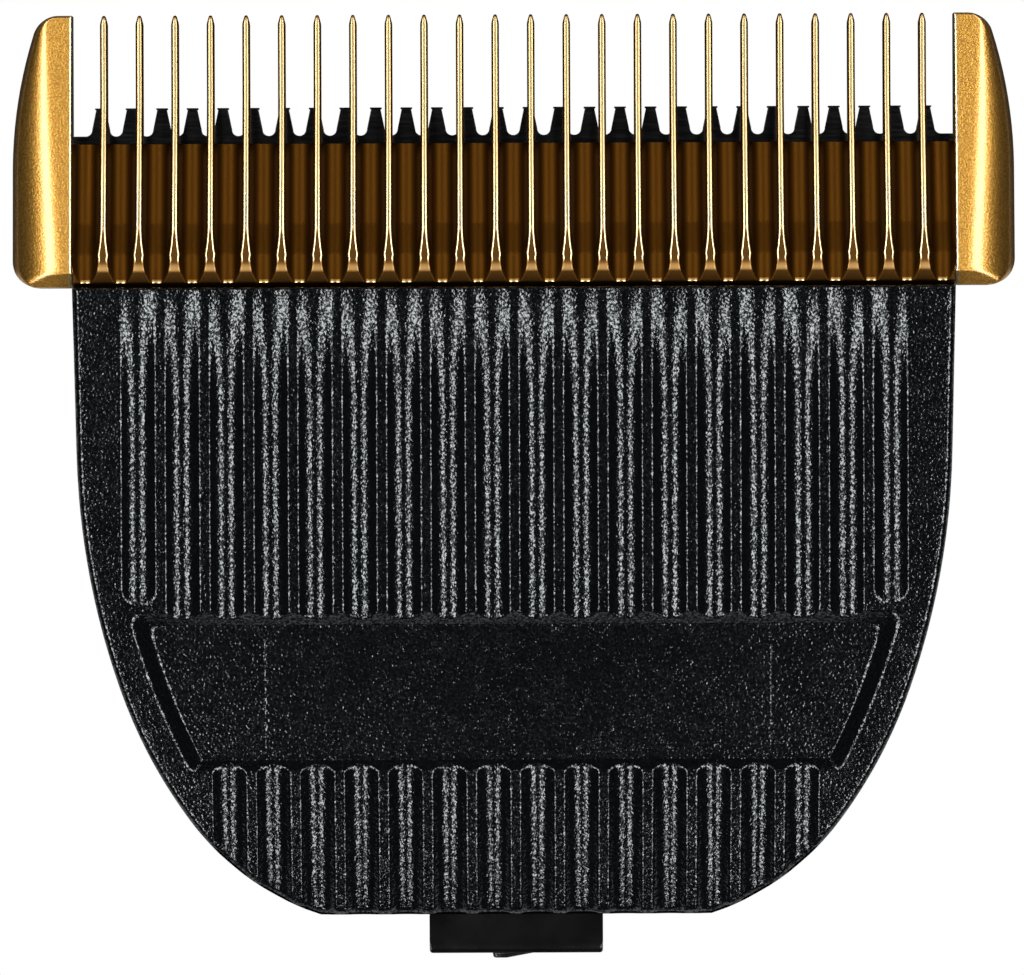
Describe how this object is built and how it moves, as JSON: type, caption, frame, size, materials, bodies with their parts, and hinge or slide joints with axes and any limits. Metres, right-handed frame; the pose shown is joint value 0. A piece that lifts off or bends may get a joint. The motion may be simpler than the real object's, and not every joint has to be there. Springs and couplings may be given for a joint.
{
  "type": "hair clipper blade",
  "caption": "Clip-on clipper blade: ribbed black housing, gold steel comb with long guide fins, and a sprung toothed cutter that slides behind it and lifts with a cleaning lever.",
  "frame": {"origin": "under the middle of the blade's bounding box, on the plane that the housing's back rim rests on", "axes": "+X across the teeth, towards the side with the cleaning lever; +Y towards the tooth tips; +Z out of the ribbed face"},
  "size_m": [0.0454, 0.0434, 0.012],
  "materials": {
    "housing_plastic": "fine grained black moulding",
    "comb_steel": "gold-coloured hard coating on ground steel",
    "cutter_steel": "black hard coating on ground steel",
    "carrier_plastic": "plain dark moulding",
    "spring_steel": "drawn spring wire",
    "lever_plastic": "plain dark moulding",
    "pin_steel": "ground steel",
    "screw_steel": "plain zinc-plated steel"
  },
  "bodies": {
    "housing": {"housing": "housing_plastic", "stationary_blade": "comb_steel", "left_blade_screw": "screw_steel", "right_blade_screw": "screw_steel", "lever_pin": "pin_steel"},
    "springs": {"left_spring": "spring_steel", "right_spring": "spring_steel"},
    "cutter": {"moving_blade": "cutter_steel", "blade_carrier": "carrier_plastic"},
    "lever": {"cleaning_lever": "lever_plastic"}
  },
  "joints": [
    {"name": "blade_lift", "type": "hinge", "parent": "housing", "child": "springs", "pos_m": [0, -0.00299, 0.0052], "axis": [-1, 0, 0], "range_deg": [0, 5.3], "stiffness_Nm_per_rad": 0.06, "springref_deg": -28.65, "deforming": ["left_spring", "right_spring"]},
    {"name": "blade_stroke", "type": "slide", "parent": "springs", "child": "cutter", "axis": [1, 0, 0], "range_m": [-0.0012, 0.0012]},
    {"name": "lever_press", "type": "hinge", "parent": "housing", "child": "lever", "pos_m": [0.0104, 0.0002, 0.007], "axis": [-1, 0, 0], "range_deg": [0, 7.5]}
  ],
  "couplings": [
    {"joint": "blade_lift", "follows": "lever_press", "ratio": 0.7}
  ]
}
